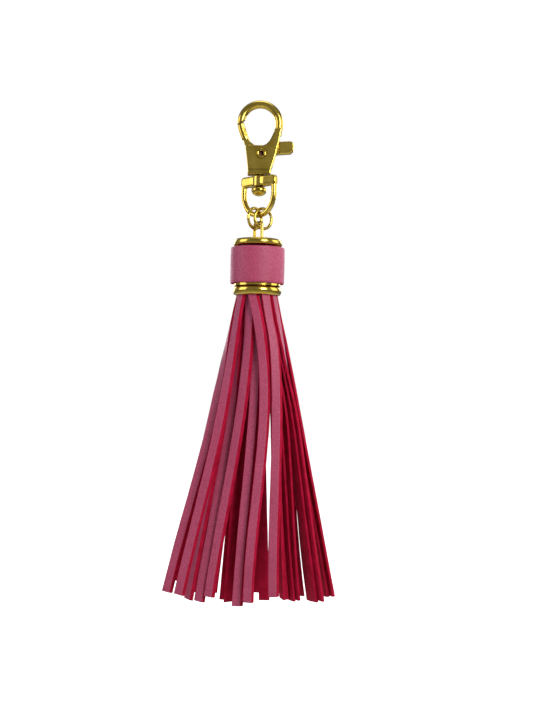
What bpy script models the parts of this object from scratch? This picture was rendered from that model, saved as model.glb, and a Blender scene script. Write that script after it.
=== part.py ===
"""Tassel bag charm with a swivel lobster clasp, hanging from the inside top of its hook.

Metres, +Z up. The origin is the seat inside the top of the hook, the front faces -Y,
and the charm hangs down along -Z.
"""
from math import cos, pi, radians, sin

import bmesh
import bpy
from mathutils import Matrix, Vector

MM = 0.001
GAP = 0.3 * MM

# Hook loop and body plate
HOOK_WIRE = 2.6 * MM
HOOK_MID_RADIUS = 6.5 * MM
HOOK_CENTRE_Z = -5.2 * MM
PLATE_DEPTH = 4.6 * MM
PLATE_BEVEL = 0.55 * MM
SLOT_DEPTH = 2.4 * MM
PIVOT = Vector((0.6 * MM, 0, -15.8 * MM))
RIVET_RADIUS = 1.1 * MM
RIVET_BORE = 0.75 * MM
RIVET_FLARE = 1.5 * MM
RIVET_HOLE = 1.6 * MM
BODY_BASE_Z = -22.7 * MM
NOSE_ARC = 12.9 * MM

# Gate lever
GATE_ARC = 12.6 * MM
GATE_DEPTH = 1.8 * MM
POCKET_RADIUS = 3.05 * MM
POCKET_DEPTH = 1.1 * MM
SPRING_WIRE = 0.32 * MM
SPRING_RADIUS = 2.0 * MM
SPRING_TURNS = 2.0
SPRING_PITCH = 0.4 * MM
SPRING_START_Y = 0.05 * MM
SPRING_LEG = 1.4 * MM

# Swivel post and eye
POST_RADIUS = 1.2 * MM
POST_SEAT = 2.6 * MM
POST_HEAD_RADIUS = 2.6 * MM
POST_HEAD_TOP_Z = -27.1 * MM
POST_HEAD_LOW_Z = -29.9 * MM
EYE_TURN = radians(-34)
EYE_WIDTH = 14.1 * MM
EYE_BAR_TOP_Z = -23.05 * MM
EYE_BAR_HEIGHT = 3.6 * MM
EYE_BAR_DEPTH = 3.4 * MM
EYE_LIMB = 1.75 * MM
EYE_LOW_Z = -37.2 * MM

# Jump rings
RING_WIRE = 1.05 * MM
RING_MID_RADIUS = 3.4 * MM
RING_Z = -37.5 * MM

# Cap
CAP_LOOP_TOP_Z = -38.3 * MM
CAP_LOOP_WIRE = 1.1 * MM
CAP_LOOP_HALF = 2.2 * MM
CAP_LOOP_TURN = radians(-55)
DISC_RADIUS = 8.35 * MM
DISC_TOP_Z = -44.7 * MM
DISC_HEIGHT = 2.5 * MM
DISC_HOLLOW = 1.2 * MM
SLEEVE_RADIUS = 7.95 * MM
SLEEVE_WALL = 0.6 * MM
BAND_RADIUS = 9.2 * MM
BAND_THICKNESS = 0.95 * MM
BAND_TOP_Z = -47.55 * MM
BAND_LOW_Z = -59.75 * MM
BAND_SEAM = radians(2.4)
LOWER_RING_RADIUS = 8.25 * MM
LOWER_RING_BORE = 7.05 * MM
LOWER_RING_TOP_Z = -60.8 * MM
LOWER_RING_LOW_Z = -63.6 * MM

# Fringe: one sheet rolled up, its lower part cut into strips
SHEET = 0.9 * MM
ROLL_PITCH = 1.3 * MM
ROLL_TOP_Z = -48.0 * MM
ROLL_LOW_Z = -63.4 * MM
ROLL_INNER = 0.9 * MM
ROLL_OUTER = 6.2 * MM
STRIP_WIDTH = 3.5 * MM
STRIP_TOP_Z = -63.9 * MM
STRIP_LEVELS = 13
LEVELS_LOW_Z = -161.0 * MM
STRIP_CLEAR = 0.22 * MM
SETTLE_ROUNDS = 60
CARRY_OVER = 0.9
TWIST_START = 0.02
TWIST_END = 0.45
FLARE = 1.3 * MM

# Factors that bring the peaks of t (1 - t)^2 and t (1 - t)^5 to 1
BOW_PEAK = 6.75
FLARE_PEAK = 14.93

# Turn radius of the roll, by layer from the outside in
LAYER_RADIUS = {1: 6.35 * MM, 2: 5.0 * MM, 3: 3.65 * MM, 4: 2.25 * MM, 5: 0.6 * MM}

# Each strip: name, layer, angle in the roll, foot x, foot y, way its face looks at the foot,
# sideways bow, foot height. Angles in degrees, lengths in millimetres.
STRIPS = (
    ("strip_outer_01", 1, -180.0, -28.2, -2.5, -108, 2.3, -164.2),
    ("strip_outer_02", 1, -142.0, -23.9, -5.5, -100, 2.0, -164.3),
    ("strip_outer_03", 1, -102.0, -0.8, -8.5, -91, 4.7, -165.6),
    ("strip_outer_04", 1, -62.0, 7.3, -7.5, -88, 2.3, -163.8),
    ("strip_outer_05", 1, -27.5, 22.8, -5.0, 24, 0.3, -165.6),
    ("strip_outer_06", 1, 7.0, 27.0, 0.5, 20, -0.5, -165.4),
    ("strip_outer_07", 1, 41.5, 24.7, 5.5, 52, -0.5, -166.6),
    ("strip_outer_08", 1, 76.0, 13.6, 8.5, 74, 1.8, -166.8),
    ("strip_outer_09", 1, 110.5, 1.5, 9.5, 92, 0.5, -167.0),
    ("strip_outer_10", 1, 145.0, -25.5, 6.0, 108, 0.0, -162.6),
    ("strip_second_01", 2, -160.0, -20.9, -1.8, -132, 1.2, -166.7),
    ("strip_second_02", 2, -115.0, -13.9, -5.0, -108, 2.3, -164.9),
    ("strip_second_03", 2, -70.0, 10.7, -4.4, 22, 2.0, -165.3),
    ("strip_second_04", 2, -25.0, 22.0, -2.6, 30, 1.0, -166.4),
    ("strip_second_05", 2, 20.0, 25.6, 2.4, 28, -0.3, -166.0),
    ("strip_second_06", 2, 65.0, 17.2, 4.8, 42, 2.8, -166.5),
    ("strip_second_07", 2, 110.0, -9.2, 6.0, 90, 0.0, -168.8),
    ("strip_second_08", 2, 155.0, -18.6, 4.2, 100, 0.0, -166.0),
    ("strip_third_01", 3, -160.0, -17.8, -3.8, -99, 1.4, -167.0),
    ("strip_third_02", 3, -100.0, -4.6, -6.2, -94, 1.9, -167.5),
    ("strip_third_03", 3, -40.0, 14.4, -2.4, 26, 2.0, -166.3),
    ("strip_third_04", 3, 20.0, 20.4, 0.2, 24, 2.8, -167.0),
    ("strip_third_05", 3, 80.0, 9.2, 5.4, 78, 3.4, -166.0),
    ("strip_third_06", 3, 140.0, -13.4, 2.6, 95, 0.0, -165.4),
    ("strip_fourth_01", 4, -85.0, -1.4, -3.4, -90, 1.6, -165.6),
    ("strip_fourth_02", 4, 5.0, 15.6, -0.6, 30, 2.6, -166.8),
    ("strip_fourth_03", 4, 95.0, 4.6, 3.4, 88, 0.0, -168.0),
    ("strip_fourth_04", 4, 185.0, -7.4, -0.8, 120, 0.0, -167.8),
    ("strip_core_01", 5, 5.0, 12.0, 0.4, 20, 1.8, -166.4),
    ("strip_core_02", 5, 185.0, -4.4, 1.2, 110, 0.0, -166.2),
)


# Scene, materials and mesh helpers

def clear_scene():
    for old in list(bpy.data.objects):
        bpy.data.objects.remove(old, do_unlink=True)


def material(name, color, roughness, metallic):
    made = bpy.data.materials.new(name)
    made.use_nodes = True
    shader = made.node_tree.nodes["Principled BSDF"]
    shader.inputs["Base Color"].default_value = (*color, 1)
    shader.inputs["Roughness"].default_value = roughness
    shader.inputs["Metallic"].default_value = metallic
    return made


def add_object(name, bm, finish, smooth_angle=None):
    """Make an object from a bmesh, with its faces pointing out."""
    bmesh.ops.recalc_face_normals(bm, faces=bm.faces)
    mesh = bpy.data.meshes.new(name)
    bm.to_mesh(mesh)
    bm.free()
    made = bpy.data.objects.new(name, mesh)
    bpy.context.scene.collection.objects.link(made)
    if finish:
        mesh.materials.append(finish)
    if smooth_angle:
        mesh.shade_smooth()
        mesh.set_sharp_from_angle(angle=radians(smooth_angle))
    return made


def skin_sections(sections, closed=False):
    """Join rings of points, each with the same count, into one closed body."""
    bm = bmesh.new()
    rings = [[bm.verts.new(point) for point in section] for section in sections]
    count = len(rings[0])
    pairs = list(zip(rings, rings[1:]))
    if closed:
        pairs.append((rings[-1], rings[0]))
    for low, high in pairs:
        for index in range(count):
            after = (index + 1) % count
            bm.faces.new((low[index], low[after], high[after], high[index]))
    if not closed:
        bm.faces.new(rings[0])
        bm.faces.new(rings[-1])
    return bm


def tube(path, radius, sides, closed=False, flat=1.0):
    """A round or oval bar along a path that lies in one plane."""
    sections = []
    count = len(path)
    first = path[1] - path[0]
    for index in range(2, count):
        normal = first.cross(path[index] - path[0])
        if normal.length > 1e-9:
            break
    normal.normalize()
    for index, point in enumerate(path):
        before = path[index - 1] if index or closed else point
        after = path[(index + 1) % count] if index + 1 < count or closed else point
        along = (after - before).normalized()
        across = along.cross(normal)
        ring = []
        for side in range(sides):
            angle = 2 * pi * side / sides
            ring.append(point + across * radius * cos(angle) + normal * radius * flat * sin(angle))
        sections.append(ring)
    return skin_sections(sections, closed)


def turned(profile, steps):
    """Turn a closed outline of (radius, z) points about the Z axis."""
    sections = []
    for step in range(steps):
        angle = 2 * pi * step / steps
        sections.append([Vector((r * cos(angle), r * sin(angle), z)) for r, z in profile])
    return skin_sections(sections, closed=True)


def turned_solid(profile, steps):
    """Turn an open outline about Z and close it with one point at each end on the axis."""
    bm = bmesh.new()
    rings = []
    for r, z in profile:
        rings.append([bm.verts.new((r * cos(2 * pi * k / steps), r * sin(2 * pi * k / steps), z))
                      for k in range(steps)])
    for low, high in zip(rings, rings[1:]):
        for k in range(steps):
            after = (k + 1) % steps
            bm.faces.new((low[k], low[after], high[after], high[k]))
    bm.faces.new(rings[0])
    bm.faces.new(rings[-1])
    return bm


def slab(outline, depth):
    """A flat plate from an outline of (x, z) points, centred on y = 0."""
    front = [Vector((x, -depth / 2, z)) for x, z in outline]
    back = [Vector((x, depth / 2, z)) for x, z in outline]
    return skin_sections([front, back])


def arc(centre_x, centre_z, radius, start, end, steps):
    points = []
    for step in range(steps + 1):
        angle = radians(start + (end - start) * step / steps)
        points.append((centre_x + radius * cos(angle), centre_z + radius * sin(angle)))
    return points


def rounded(points, radius, steps=4):
    """Round every corner of a closed (x, z) outline."""
    result = []
    count = len(points)
    for index in range(count):
        corner = Vector(points[index])
        before = Vector(points[index - 1])
        after = Vector(points[(index + 1) % count])
        reach = min(radius, (before - corner).length / 2.2, (after - corner).length / 2.2)
        start = corner + (before - corner).normalized() * reach
        end = corner + (after - corner).normalized() * reach
        for step in range(steps + 1):
            t = step / steps
            point = start * (1 - t) ** 2 + corner * 2 * t * (1 - t) + end * t ** 2
            result.append((point.x, point.y))
    return result


def bevel(target, width, segments=2):
    modifier = target.modifiers.new("Bevel", "BEVEL")
    modifier.width = width
    modifier.segments = segments
    modifier.limit_method = "ANGLE"
    modifier.angle_limit = radians(40)


def boolean(target, other, operation):
    """Cut or add another object, which is kept as a hidden guide."""
    modifier = target.modifiers.new(operation.title(), "BOOLEAN")
    modifier.operation = operation
    modifier.object = other
    modifier.solver = "EXACT"
    other.hide_render = True
    other.display_type = "WIRE"


def cutter_rod(name, centre, radius, length, axis, sides=24):
    """A round cutter along one axis."""
    bm = bmesh.new()
    bmesh.ops.create_cone(bm, cap_ends=True, segments=sides, radius1=radius, radius2=radius, depth=length)
    made = add_object(name, bm, None)
    made.location = centre
    if axis == "Y":
        made.rotation_euler = (pi / 2, 0, 0)
    return made


def cutter_slab(name, outline, depth):
    return add_object(name, slab(outline, depth), None)


def millimetres(points):
    return [(x * MM, z * MM) for x, z in points]


# Lobster clasp

def hook_path():
    """Centre line of the hook: nose at the left, over the top, down the right side into the plate."""
    points = [(-6.6, -7.6)]
    points += arc(0, HOOK_CENTRE_Z / MM, HOOK_MID_RADIUS / MM, 180, 0, 26)
    points += [(6.45, -6.6), (6.15, -8.4), (5.6, -10.4), (4.9, -12.6), (4.2, -14.8)]
    return [Vector((x * MM, 0, z * MM)) for x, z in points]


def pivot_arc(radius, start, end, steps=6):
    """Arc about the rivet, which the nose and the gate's tip both follow so that the gate can pass."""
    return arc(PIVOT.x / MM, PIVOT.z / MM, radius / MM, start, end, steps)


def make_hook_body(gold):
    plate_outline = [(-4.95, -12.95), (1.4, -12.95), (3.0, -11.7), (4.1, -9.8), (5.0, -7.6), (7.3, -7.2),
                     (6.75, -10.6), (5.35, -16.4), (3.85, -21.4), (3.75, -22.7), (-3.95, -22.7), (-3.9, -21.4)]
    plate = add_object("hook_plate_guide", slab(millimetres(rounded(plate_outline, 0.8, 3)), PLATE_DEPTH), None)
    bevel(plate, PLATE_BEVEL)
    body = add_object("hook_body", tube(hook_path(), HOOK_WIRE / 2, 14), gold, 40)
    slot_outline = [(-9.0, -6.0), (-5.3, -6.2), (-2.2, -11.2), (5.0, -9.4), (12.5, -9.4), (12.5, -17.9),
                    (4.2, -18.6), (-4.2, -18.6), (-9.0, -12.0)]
    slot = cutter_slab("slot_cutter", millimetres(slot_outline), SLOT_DEPTH)
    nose_outline = pivot_arc(NOSE_ARC, 112, 142) + [(-10.0, -10.0), (-5.0, -10.0)]
    nose = cutter_slab("nose_cutter", millimetres(nose_outline), 2 * HOOK_WIRE)
    bore = cutter_rod("pivot_cutter", PIVOT, RIVET_RADIUS + GAP, 3 * PLATE_DEPTH, "Y")
    post_bore = cutter_rod("post_cutter", Vector((0, 0, BODY_BASE_Z)), POST_RADIUS + GAP, 6.4 * MM, "Z")
    boolean(body, plate, "UNION")
    boolean(body, nose, "DIFFERENCE")
    boolean(body, slot, "DIFFERENCE")
    boolean(body, bore, "DIFFERENCE")
    boolean(body, post_bore, "DIFFERENCE")
    return body


def make_gate_lever(gold):
    """Gate arm, hub and thumb lever in one piece, turning about the rivet."""
    outline = pivot_arc(GATE_ARC, 130.5, 119, 2)
    outline += [(-3.3, -11.6), (-0.6, -13.4), (1.4, -13.2), (4.0, -11.6), (10.4, -11.1), (11.5, -11.9),
                (11.6, -14.0), (10.6, -15.4), (5.0, -15.9), (2.3, -17.9), (-0.6, -18.1), (-2.9, -16.4),
                (-5.3, -12.2)]
    lever = add_object("gate_lever", slab(millimetres(rounded(outline, 1.2, 4)), GATE_DEPTH), gold, 40)
    bevel(lever, 0.25 * MM)
    bore = cutter_rod("lever_bore_cutter", PIVOT, RIVET_RADIUS + GAP, 3 * PLATE_DEPTH, "Y")
    pocket = cutter_rod("lever_pocket_cutter", PIVOT + Vector((0, GATE_DEPTH / 2, 0)), POCKET_RADIUS,
                        2 * POCKET_DEPTH, "Y")
    boolean(lever, bore, "DIFFERENCE")
    boolean(lever, pocket, "DIFFERENCE")
    place_origin(lever, PIVOT)
    return lever


def place_origin(target, point):
    """Move an object's origin to a point without moving its shape."""
    target.data.transform(Matrix.Translation(-point))
    target.location = point


def make_pivot_rivet(gold):
    """Rivet through both cheeks, with a blind hole and a flared lip on each side."""
    half = PLATE_DEPTH / 2 + 0.55 * MM
    neck = PLATE_DEPTH / 2 + 0.2 * MM
    lip = [(RIVET_BORE, half - RIVET_HOLE), (RIVET_BORE, half - 0.3 * MM), (RIVET_BORE + 0.15 * MM, half),
           (RIVET_FLARE - 0.3 * MM, half), (RIVET_FLARE, neck + 0.15 * MM), (RIVET_FLARE, neck),
           (RIVET_RADIUS, neck)]
    profile = lip + [(r, -z) for r, z in reversed(lip)]
    rivet = add_object("pivot_rivet", turned_solid(profile, 20), gold, 50)
    rivet.rotation_euler = (pi / 2, 0, 0)
    rivet.location = PIVOT
    return rivet


def make_gate_spring(steel):
    """Torsion spring round the rivet, in the pocket behind the lever's hub."""
    steps_per_turn = 14
    total = int(SPRING_TURNS * steps_per_turn)
    sides = 6
    start_angle = radians(200)
    places = []
    for step in range(total + 1):
        angle = 2 * pi * step / steps_per_turn + start_angle
        out = Vector((cos(angle), 0, sin(angle)))
        along = Vector((-sin(angle), 0, cos(angle)))
        rise = Vector((0, SPRING_START_Y + SPRING_PITCH * step / steps_per_turn, 0))
        centre = PIVOT + out * SPRING_RADIUS + rise
        if step == 0:
            places.append((centre - along * SPRING_LEG, out))
        places.append((centre, out))
        if step == total:
            places.append((centre + along * SPRING_LEG, out))
    sections = []
    for centre, out in places:
        ring = []
        for side in range(sides):
            turn = 2 * pi * side / sides
            ring.append(centre + (out * cos(turn) + Vector((0, sin(turn), 0))) * SPRING_WIRE / 2)
        sections.append(ring)
    return add_object("gate_spring", skin_sections(sections), steel, 60)


def make_swivel_post(gold):
    """Shank fixed in the body, with a domed rivet head under the eye's bar."""
    head = POST_HEAD_RADIUS
    profile = [(POST_RADIUS, BODY_BASE_Z + POST_SEAT), (POST_RADIUS, POST_HEAD_TOP_Z), (head * 0.86, POST_HEAD_TOP_Z),
               (head, POST_HEAD_TOP_Z - 0.5 * MM), (head * 0.94, POST_HEAD_TOP_Z - 1.3 * MM),
               (head * 0.68, POST_HEAD_LOW_Z + 0.4 * MM), (head * 0.3, POST_HEAD_LOW_Z)]
    return add_object("swivel_post", turned_solid(profile, 24), gold, 40)


def eye_limb_path():
    """Centre line of the D from one end of the bar, round the bottom, to the other end."""
    half = (EYE_WIDTH - EYE_LIMB) / 2
    low = EYE_LOW_Z + EYE_LIMB / 2
    top = EYE_BAR_TOP_Z - EYE_BAR_HEIGHT / 2
    drop = top - low
    points = []
    steps = 24
    straight = 0.34
    points.append((-half * 0.97, top))
    for step in range(steps + 1):
        angle = pi + pi * step / steps
        reach = abs(cos(angle)) ** 0.92
        x = half * (1 if cos(angle) > 0 else -1) * reach
        z = top - drop * straight + drop * (1 - straight) * sin(angle)
        points.append((x, z))
    points.append((half * 0.97, top))
    return [Vector((x, 0, z)) for x, z in points]


def make_eye_bar():
    """Bar of the eye, deepest round the post and thinner where it runs into the limbs."""
    half = EYE_WIDTH / 2
    middle = EYE_BAR_TOP_Z - EYE_BAR_HEIGHT / 2
    soft = 0.35 * MM
    stations = ((1, EYE_LIMB, 0.62), (0.94, 1.15 * EYE_LIMB, 0.86), (0.86, 1.25 * EYE_LIMB, 1), (0.36, EYE_BAR_DEPTH, 1))
    stations = [(-share, depth, rise) for share, depth, rise in stations] + list(reversed(stations))
    sections = []
    for share, depth, rise in stations:
        y = depth / 2
        z = EYE_BAR_HEIGHT * rise / 2
        corners = ((-y, z - soft), (-y + soft, z), (y - soft, z), (y, z - soft),
                   (y, soft - z), (y - soft, -z), (soft - y, -z), (-y, soft - z))
        sections.append([Vector((half * share, across, middle + up)) for across, up in corners])
    return add_object("eye_bar_guide", skin_sections(sections), None)


def make_swivel_eye(gold):
    bar = make_eye_bar()
    eye = add_object("swivel_eye", tube(eye_limb_path(), EYE_LIMB / 2, 12), gold, 40)
    bore = cutter_rod("eye_bore_cutter", Vector((0, 0, EYE_BAR_TOP_Z - EYE_BAR_HEIGHT / 2)), POST_RADIUS + GAP,
                      8 * MM, "Z")
    boolean(eye, bar, "UNION")
    boolean(eye, bore, "DIFFERENCE")
    for piece in (eye, bar):
        piece.rotation_euler = (0, 0, EYE_TURN)
    return eye


# Jump rings and cap

def make_jump_ring(name, x, y, turn, gold):
    across = Vector((cos(radians(turn)), sin(radians(turn)), 0))
    up = Vector((0, 0, 1))
    centre = Vector((x * MM, y * MM, RING_Z))
    path = []
    steps = 28
    for step in range(steps):
        angle = 2 * pi * step / steps
        path.append(centre + across * RING_MID_RADIUS * cos(angle) + up * RING_MID_RADIUS * sin(angle))
    return add_object(name, tube(path, RING_WIRE / 2, 10, closed=True), gold, 60)


def make_cap_loop(gold):
    """A wire staple whose legs go down through the lid."""
    corner = 0.9 * MM
    half = CAP_LOOP_HALF
    top = CAP_LOOP_TOP_Z - CAP_LOOP_WIRE / 2
    foot = DISC_TOP_Z - DISC_HEIGHT - 0.2 * MM
    flat = [(-half, foot), (-half, (foot + top) / 2)]
    flat += arc(-half + corner, top - corner, corner, 180, 90, 5)
    flat += arc(half - corner, top - corner, corner, 90, 0, 5)
    flat += [(half, (foot + top) / 2), (half, foot)]
    path = [Vector((x, 0, z)) for x, z in flat]
    loop = add_object("cap_loop", tube(path, CAP_LOOP_WIRE / 2, 10), gold, 60)
    loop.rotation_euler = (0, 0, CAP_LOOP_TURN)
    return loop


def make_cap_top_disc(gold):
    """Lid with a rounded rim and a shallow hollow underneath."""
    rim = DISC_RADIUS
    top = DISC_TOP_Z
    low = DISC_TOP_Z - DISC_HEIGHT
    profile = [(0.55 * rim, top + 0.12 * MM), (0.86 * rim, top), (0.95 * rim, top - 0.3 * MM), (rim, top - 0.95 * MM),
               (rim, top - 1.7 * MM), (0.96 * rim, low + 0.25 * MM), (0.9 * rim, low), (0.8 * rim, low),
               (0.78 * rim, low + DISC_HOLLOW)]
    disc = add_object("cap_top_disc", turned_solid(profile, 48), gold, 35)
    for side in (-1, 1):
        spot = Vector((cos(CAP_LOOP_TURN), sin(CAP_LOOP_TURN), 0)) * CAP_LOOP_HALF * side
        name = "leg_hole_cutter_left" if side < 0 else "leg_hole_cutter_right"
        hole = cutter_rod(name, spot + Vector((0, 0, top)), CAP_LOOP_WIRE / 2 + 0.2 * MM, 8 * MM, "Z", 16)
        boolean(disc, hole, "DIFFERENCE")
    return disc


def make_cap_sleeve(gold):
    top = DISC_TOP_Z - DISC_HEIGHT - GAP
    low = LOWER_RING_TOP_Z + GAP
    inner = SLEEVE_RADIUS - SLEEVE_WALL
    profile = [(SLEEVE_RADIUS, top), (SLEEVE_RADIUS, low), (inner, low), (inner, top)]
    return add_object("cap_sleeve", turned(profile, 48), gold, 40)


def make_leather_band(pink):
    """Wrapped strip of leather with a butt seam at the back."""
    steps = 56
    inner = BAND_RADIUS - BAND_THICKNESS
    soft = 0.25 * MM
    profile = [(BAND_RADIUS, BAND_TOP_Z - soft), (BAND_RADIUS, BAND_LOW_Z + soft), (BAND_RADIUS - soft, BAND_LOW_Z),
               (inner, BAND_LOW_Z), (inner, BAND_TOP_Z), (BAND_RADIUS - soft, BAND_TOP_Z)]
    sections = []
    for step in range(steps + 1):
        angle = pi / 2 + BAND_SEAM / 2 + (2 * pi - BAND_SEAM) * step / steps
        sections.append([Vector((r * cos(angle), r * sin(angle), z)) for r, z in profile])
    return add_object("leather_band", skin_sections(sections), pink, 40)


def make_bottom_ring(gold):
    rim = LOWER_RING_RADIUS
    top = LOWER_RING_TOP_Z
    low = LOWER_RING_LOW_Z
    bore = LOWER_RING_BORE
    profile = [(0.93 * rim, top), (0.985 * rim, top - 0.35 * MM), (rim, top - 1.1 * MM), (rim, low + 1.1 * MM),
               (0.985 * rim, low + 0.35 * MM), (0.93 * rim, low), (bore + 0.25 * MM, low), (bore, low + 0.3 * MM),
               (bore, top)]
    return add_object("bottom_ring", turned(profile, 48), gold, 35)


# Fringe

def make_fringe_roll(pink):
    """The uncut top of the sheet, rolled up inside the cap."""
    per_turn = 20
    turns = (ROLL_OUTER - ROLL_INNER) / ROLL_PITCH
    total = int(turns * per_turn)
    sections = []
    for step in range(total + 1):
        angle = 2 * pi * step / per_turn
        middle = ROLL_INNER + ROLL_PITCH * step / per_turn
        inner = middle - SHEET / 2
        outer = middle + SHEET / 2
        corners = ((inner, ROLL_TOP_Z), (outer, ROLL_TOP_Z), (outer, ROLL_LOW_Z), (inner, ROLL_LOW_Z))
        sections.append([Vector((r * cos(angle), r * sin(angle), z)) for r, z in corners])
    return add_object("fringe_roll", skin_sections(sections), pink, 40)


def smooth(t):
    t = min(1, max(0, t))
    return t * t * (3 - 2 * t)


def strip_aim(strip, z):
    """Where a strip would lie at height z if it had no neighbours: x, y and the way its face looks."""
    _, layer, turn, foot_x, foot_y, look, bow, foot_z = strip
    radius = LAYER_RADIUS[layer]
    t = (STRIP_TOP_Z - z) / (STRIP_TOP_Z - foot_z * MM)
    x = radius * cos(radians(turn)) * (1 - t) + foot_x * MM * t + bow * MM * BOW_PEAK * t * (1 - t) ** 2
    x -= FLARE * min(0, cos(radians(turn))) ** 2 * FLARE_PEAK * t * (1 - t) ** 5
    y = radius * sin(radians(turn)) * (1 - t) + foot_y * MM * t
    swing = (look - turn + 180) % 360 - 180
    facing = radians(turn + swing * smooth((t - TWIST_START) / (TWIST_END - TWIST_START)))
    return Vector((x, y)), facing


def sheet_axes(facing):
    outward = Vector((cos(facing), sin(facing)))
    sideways = Vector((-sin(facing), cos(facing)))
    return outward, sideways


def push_apart(first, second):
    """How far the first of two flat sections has to move to leave half the clearance, or None."""
    apart = second[0] - first[0]
    if apart.length > STRIP_WIDTH + SHEET + STRIP_CLEAR:
        return None
    best = None
    for axis in (*sheet_axes(first[1]), *sheet_axes(second[1])):
        reach = 0
        for _, facing in (first, second):
            outward, sideways = sheet_axes(facing)
            reach += abs(axis.dot(outward)) * SHEET / 2 + abs(axis.dot(sideways)) * STRIP_WIDTH / 2
        along = apart.dot(axis)
        space = abs(along) - reach
        if best is None or space > best[0]:
            best = (space, axis if along < 0 else -axis)
    if best[0] >= STRIP_CLEAR:
        return None
    return best[1] * (STRIP_CLEAR - best[0]) / 2


def settle(places):
    """Let the strips of one level push each other sideways until all of them are clear."""
    names = list(places)
    for _ in range(SETTLE_ROUNDS):
        moved = False
        for index, name in enumerate(names):
            for other in names[index + 1:]:
                push = push_apart(places[name], places[other])
                if push:
                    places[name] = (places[name][0] + push, places[name][1])
                    places[other] = (places[other][0] - push, places[other][1])
                    moved = True
        if not moved:
            break
    return places


def strip_levels():
    """The settled place of every strip at each height, from the ring down to its own foot."""
    heights = [STRIP_TOP_Z + (LEVELS_LOW_Z - STRIP_TOP_Z) * step / STRIP_LEVELS for step in range(STRIP_LEVELS + 1)]
    shifts = {strip[0]: Vector((0, 0)) for strip in STRIPS}
    levels = {strip[0]: [] for strip in STRIPS}
    for height in heights:
        aims = {strip[0]: strip_aim(strip, height) for strip in STRIPS}
        places = {name: (aim + shifts[name] * CARRY_OVER, facing) for name, (aim, facing) in aims.items()}
        if height < STRIP_TOP_Z:
            places = settle(places)
        for name, (place, facing) in places.items():
            shifts[name] = place - aims[name][0]
            levels[name].append((place, facing, height))
    for strip in STRIPS:
        aim, facing = strip_aim(strip, strip[-1] * MM)
        levels[strip[0]].append((aim + shifts[strip[0]], facing, strip[-1] * MM))
    return levels


def make_strip(name, levels, pink):
    sections = []
    for place, facing, height in levels:
        outward, sideways = sheet_axes(facing)
        front = outward * SHEET / 2
        side = sideways * STRIP_WIDTH / 2
        corners = (place - side + front, place + side + front, place + side - front, place - side - front)
        sections.append([Vector((corner.x, corner.y, height)) for corner in corners])
    made = add_object(name, skin_sections(sections), pink)
    root, _, height = levels[0]
    place_origin(made, Vector((root.x, root.y, height)))
    return made


# Assembly

def build():
    clear_scene()
    gold = material("gold_plate", (0.60, 0.47, 0.11), 0.18, 1.0)
    steel = material("spring_steel", (0.55, 0.55, 0.56), 0.35, 1.0)
    pink = material("pink_leather", (0.50, 0.11, 0.22), 0.55, 0.0)
    crimson = material("crimson_backing", (0.33, 0.01, 0.03), 0.7, 0.0)
    make_hook_body(gold)
    make_gate_lever(gold)
    make_pivot_rivet(gold)
    make_gate_spring(steel)
    make_swivel_post(gold)
    make_swivel_eye(gold)
    make_jump_ring("jump_ring_left", -1.2, -0.4, 50, gold)
    make_jump_ring("jump_ring_right", 1.6, 0.0, 34, gold)
    make_cap_loop(gold)
    make_cap_top_disc(gold)
    make_cap_sleeve(gold)
    make_leather_band(pink)
    make_bottom_ring(gold)
    make_fringe_roll(crimson)
    for name, levels in strip_levels().items():
        make_strip(name, levels, pink)


build()
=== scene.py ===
"""Looks of the tassel bag charm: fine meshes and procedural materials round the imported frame.

Metres, +Z up. The origin is the seat inside the top of the hook, and the front faces -Y.
"""
import random
from math import acos, atan2, cos, pi, radians, sin

import bmesh
import bpy
import numpy as np
from mathutils import Matrix, Vector


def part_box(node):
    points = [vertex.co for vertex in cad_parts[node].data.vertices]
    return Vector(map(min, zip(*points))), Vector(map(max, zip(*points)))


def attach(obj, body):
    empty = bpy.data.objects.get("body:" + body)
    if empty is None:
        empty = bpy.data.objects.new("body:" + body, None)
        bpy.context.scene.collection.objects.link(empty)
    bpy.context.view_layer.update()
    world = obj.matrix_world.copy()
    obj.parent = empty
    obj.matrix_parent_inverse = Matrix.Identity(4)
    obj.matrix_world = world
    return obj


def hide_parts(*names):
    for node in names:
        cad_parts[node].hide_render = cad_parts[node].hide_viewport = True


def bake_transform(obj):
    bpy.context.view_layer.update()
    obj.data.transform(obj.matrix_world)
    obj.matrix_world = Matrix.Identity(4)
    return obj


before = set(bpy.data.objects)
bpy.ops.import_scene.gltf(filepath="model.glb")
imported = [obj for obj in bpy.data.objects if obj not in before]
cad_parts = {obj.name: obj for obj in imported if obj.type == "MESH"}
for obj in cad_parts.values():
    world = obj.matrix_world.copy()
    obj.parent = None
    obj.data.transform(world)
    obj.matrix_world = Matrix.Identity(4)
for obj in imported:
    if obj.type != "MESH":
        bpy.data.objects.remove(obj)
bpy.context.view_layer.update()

MM = 0.001
UP = Vector((0, 0, 1))
DEPTH = Vector((0, 1, 0))

# Camera: level, in front of the middle of the charm, a little rolled
CAMERA_DISTANCE = 0.300
CAMERA_X = 3.65 * MM
CAMERA_Z = -83.8 * MM
CAMERA_ROLL = radians(1.12)
SENSOR = 36.0
VIEW_HEIGHT = 241.4 * MM

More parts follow.
